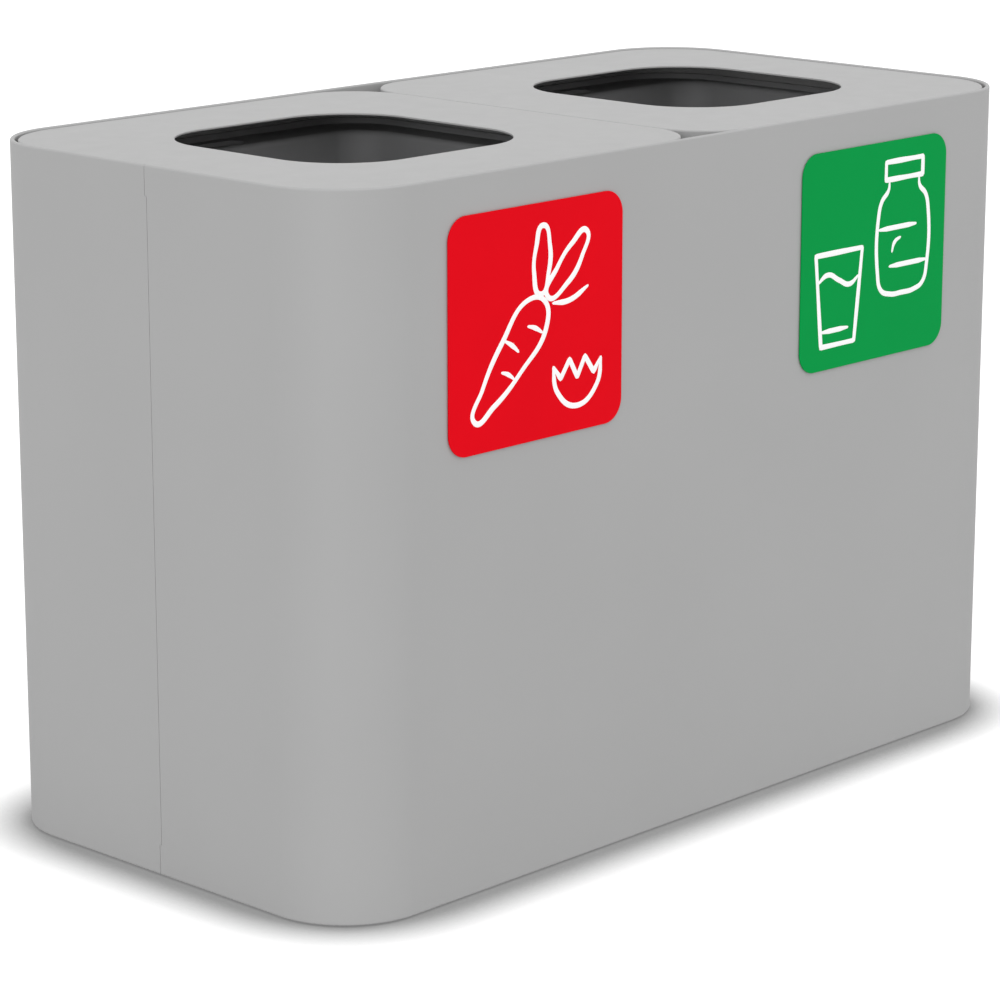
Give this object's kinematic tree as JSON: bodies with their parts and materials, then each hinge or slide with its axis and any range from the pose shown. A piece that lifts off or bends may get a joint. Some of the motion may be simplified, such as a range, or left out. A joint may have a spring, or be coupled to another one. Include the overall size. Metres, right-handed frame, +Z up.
{
  "type": "double recycling bin",
  "caption": "Free-standing two-compartment recycling bin: sheet-steel cabinet with folded hems, lift-off lids with square openings, hanging inner buckets and a sign plate for each compartment.",
  "frame": {"origin": "on the floor under the middle of the bin, sign plates included", "axes": "+X along the bin from the compartment with the red plate to the one with the green plate, -Y out of the front face, +Z up"},
  "size_m": [0.66, 0.3312, 0.45],
  "materials": {
    "cabinet_paint": "matt powder coat",
    "lid_paint": "matt powder coat",
    "bare_steel": "zinc plated",
    "bucket_plastic": "fine grained",
    "foot_rubber": "matt",
    "sign_red": "satin",
    "sign_green": "satin"
  },
  "bodies": {
    "cabinet": {"front_shell": "cabinet_paint", "rear_shell": "cabinet_paint", "left_seam_strip": "cabinet_paint", "right_seam_strip": "cabinet_paint", "front_ledge": "cabinet_paint", "rear_ledge": "cabinet_paint", "cross_rail": "cabinet_paint", "base_pan": "cabinet_paint", "foot_front_left": "foot_rubber", "foot_front_right": "foot_rubber", "foot_rear_left": "foot_rubber", "foot_rear_right": "foot_rubber", "foot_screw_front_left": "bare_steel", "foot_screw_front_right": "bare_steel", "foot_screw_rear_left": "bare_steel", "foot_screw_rear_right": "bare_steel", "left_sign_plate": "sign_red", "right_sign_plate": "sign_green"},
    "left_bucket": {"left_bucket": "bucket_plastic"},
    "right_bucket": {"right_bucket": "bucket_plastic"},
    "left_lid": {"left_lid": "lid_paint"},
    "right_lid": {"right_lid": "lid_paint"}
  },
  "joints": [
    {"name": "left_bucket_lift", "type": "slide", "parent": "cabinet", "child": "left_bucket", "axis": [0, 0, 1], "range_m": [0, 0.43]},
    {"name": "right_bucket_lift", "type": "slide", "parent": "cabinet", "child": "right_bucket", "axis": [0, 0, 1], "range_m": [0, 0.43]},
    {"name": "left_lid_lift", "type": "slide", "parent": "left_bucket", "child": "left_lid", "axis": [0, 0, 1], "range_m": [0, 0.12]},
    {"name": "right_lid_lift", "type": "slide", "parent": "right_bucket", "child": "right_lid", "axis": [0, 0, 1], "range_m": [0, 0.12]}
  ]
}
